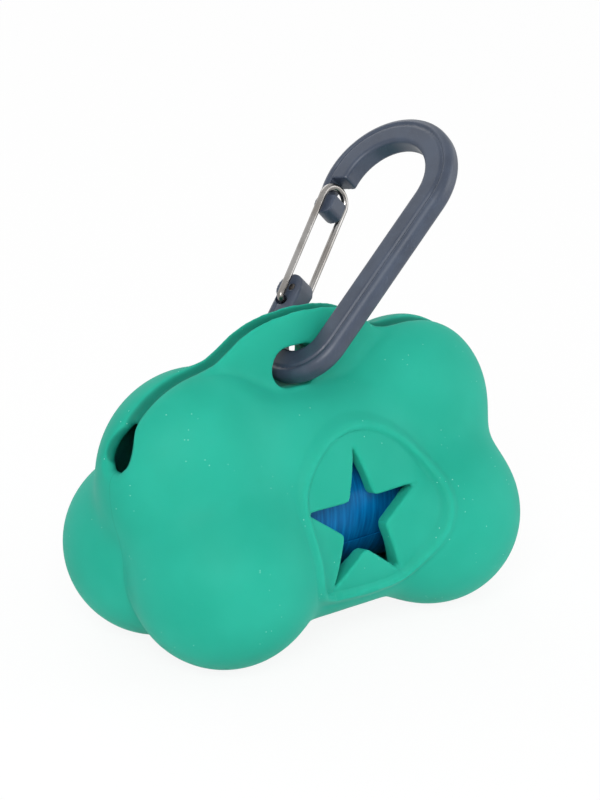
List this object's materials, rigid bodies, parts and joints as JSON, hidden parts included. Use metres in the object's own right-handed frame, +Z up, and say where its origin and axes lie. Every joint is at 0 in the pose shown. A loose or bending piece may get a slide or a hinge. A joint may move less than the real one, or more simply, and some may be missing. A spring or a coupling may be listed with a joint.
{
  "type": "dog waste bag dispenser",
  "caption": "Soft silicone pouch in the shape of a lobed bone that holds a roll of bags, with a star-shaped dispensing window and a snap clip through its hang tab.",
  "frame": {"origin": "on the ground below the middle of the pouch", "axes": "+X along the bag roll, -Y towards the star window, +Z up through the hang tab"},
  "size_m": [0.0928, 0.0572, 0.0945],
  "materials": {
    "silicone": "matte",
    "clip_plastic": "satin",
    "steel_wire": "polished",
    "bag_film": "satin",
    "core_card": "matte"
  },
  "bodies": {
    "pouch": {"pouch": "silicone"},
    "clip": {"clip_body": "clip_plastic"},
    "gate": {"wire_gate": "steel_wire"},
    "roll": {"bag_roll": "bag_film", "roll_core": "core_card"}
  },
  "joints": [
    {"name": "clip_swing", "type": "hinge", "parent": "pouch", "child": "clip", "pos_m": [-0.004, 0, 0.05271], "axis": [0, 1, 0], "range_deg": [-105, 15]},
    {"name": "gate_pivot", "type": "hinge", "parent": "clip", "child": "gate", "pos_m": [0.00664, 0.00872, 0.06335], "axis": [0.7071, 0, -0.7071], "range_deg": [0, 25], "stiffness_Nm_per_rad": 0.001, "springref_deg": -28.65},
    {"name": "roll_spin", "type": "hinge", "parent": "pouch", "child": "roll", "pos_m": [0, 0, 0.02521], "axis": [1, 0, 0], "continuous": true}
  ]
}
